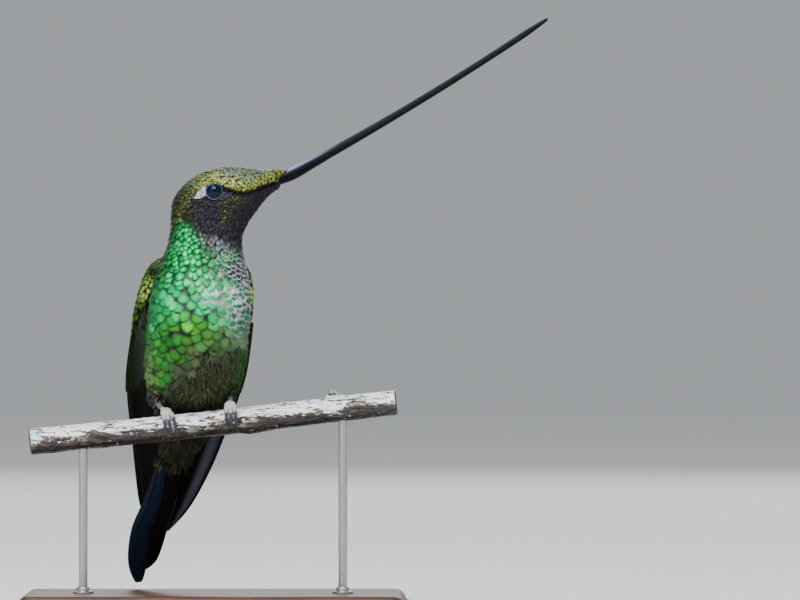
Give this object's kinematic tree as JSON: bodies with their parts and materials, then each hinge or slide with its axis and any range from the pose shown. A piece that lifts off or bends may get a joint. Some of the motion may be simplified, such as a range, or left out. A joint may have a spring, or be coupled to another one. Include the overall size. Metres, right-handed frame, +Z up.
{
  "type": "hummingbird model",
  "caption": "Life-size still model of a perched hummingbird with a very long upcurved bill, on a cut branch held by two rods over a flat base.",
  "frame": {"origin": "centre of the display base's flat underside", "axes": "+Z up; +X along the branch towards its higher end, the way the bill points; +Y away from the side the breast faces"},
  "size_m": [0.1514, 0.07, 0.1686],
  "materials": {
    "head_plumage": "short, close, bronze-green feathers with a satin sheen",
    "neck_plumage": "glossy emerald feathers",
    "trunk_plumage": "iridescent green breast scales over a dusky belly",
    "tail_feathers": "smooth dark blue-black vanes",
    "wing_coverts": "small bronze-green covert feathers",
    "flight_feathers": "smooth blackish vanes",
    "thigh_plumage": "soft pale down",
    "foot_skin": "fine pinkish-grey scaled skin with dark claws",
    "eye": "polished dark brown-black globe",
    "bill_horn": "smooth blue-grey horn, satin",
    "bill_horn_dark": "smooth blackish horn, satin",
    "bark": "weathered smooth bark with pale lichen",
    "base_wood": "dark stained hardwood, satin lacquer",
    "rod_steel": "fine brushed"
  },
  "bodies": {
    "root": {"head": "head_plumage", "neck": "neck_plumage", "trunk": "trunk_plumage", "tail": "tail_feathers", "wing_right": "wing_coverts", "wing_left": "wing_coverts", "primaries_right": "flight_feathers", "primaries_left": "flight_feathers", "leg_right": "thigh_plumage", "leg_left": "thigh_plumage", "foot_right": "foot_skin", "foot_left": "foot_skin", "eye_right": "eye", "eye_left": "eye", "bill_upper": "bill_horn", "bill_lower": "bill_horn_dark", "perch": "bark", "stand_base": "base_wood", "stand_rod_left": "rod_steel", "stand_rod_right": "rod_steel"}
  },
  "joints": []
}
